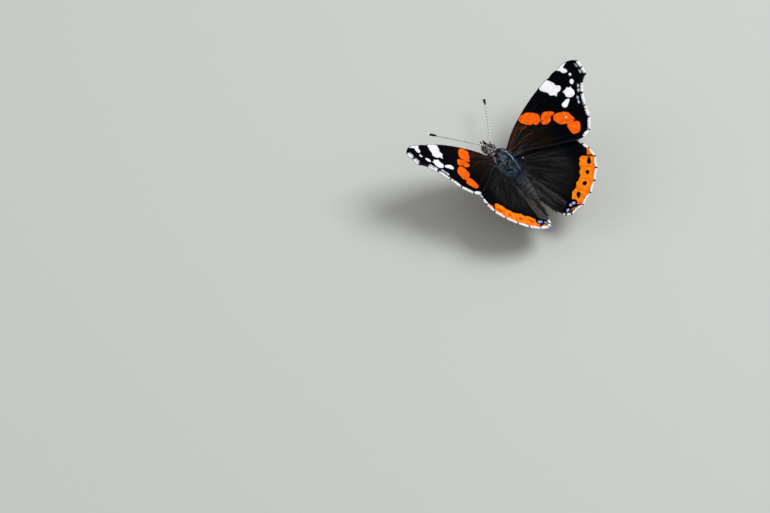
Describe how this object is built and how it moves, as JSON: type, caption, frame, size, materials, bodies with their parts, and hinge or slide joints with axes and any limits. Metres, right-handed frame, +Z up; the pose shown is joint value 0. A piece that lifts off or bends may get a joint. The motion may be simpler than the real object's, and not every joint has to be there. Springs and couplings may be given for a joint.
{
  "type": "red admiral butterfly",
  "caption": "Butterfly standing on its feet with dark wings spread, crossed by an orange band and marked white near the tips.",
  "frame": {"origin": "on the floor, under the middle of the animal's bounding box", "axes": "+X to the animal's left, along the wing span; the head points to -Y; +Z up"},
  "size_m": [0.0604, 0.0434, 0.0215],
  "materials": {
    "thorax_coat": "soft hair, dull grey-green",
    "abdomen_coat": "short scales and hair, brown-black",
    "head_coat": "soft hair, brown with pale flecks",
    "eye": "glossy, finely faceted",
    "palp": "scaled and hairy",
    "tongue": "smooth horn",
    "feeler": "black with white rings",
    "fore_wing": "velvety scales",
    "hind_wing": "velvety scales",
    "leg": "scaled horn"
  },
  "bodies": {
    "root": {"thorax": "thorax_coat", "abdomen": "abdomen_coat", "head": "head_coat", "proboscis": "tongue", "antenna_left": "feeler", "antenna_right": "feeler", "eye_left": "eye", "eye_right": "eye", "palp_left": "palp", "palp_right": "palp", "fore_wing_left": "fore_wing", "fore_wing_right": "fore_wing", "hind_wing_left": "hind_wing", "hind_wing_right": "hind_wing", "fore_leg_left": "leg", "fore_leg_right": "leg", "mid_leg_left": "leg", "mid_leg_right": "leg", "hind_leg_left": "leg", "hind_leg_right": "leg"}
  },
  "joints": []
}
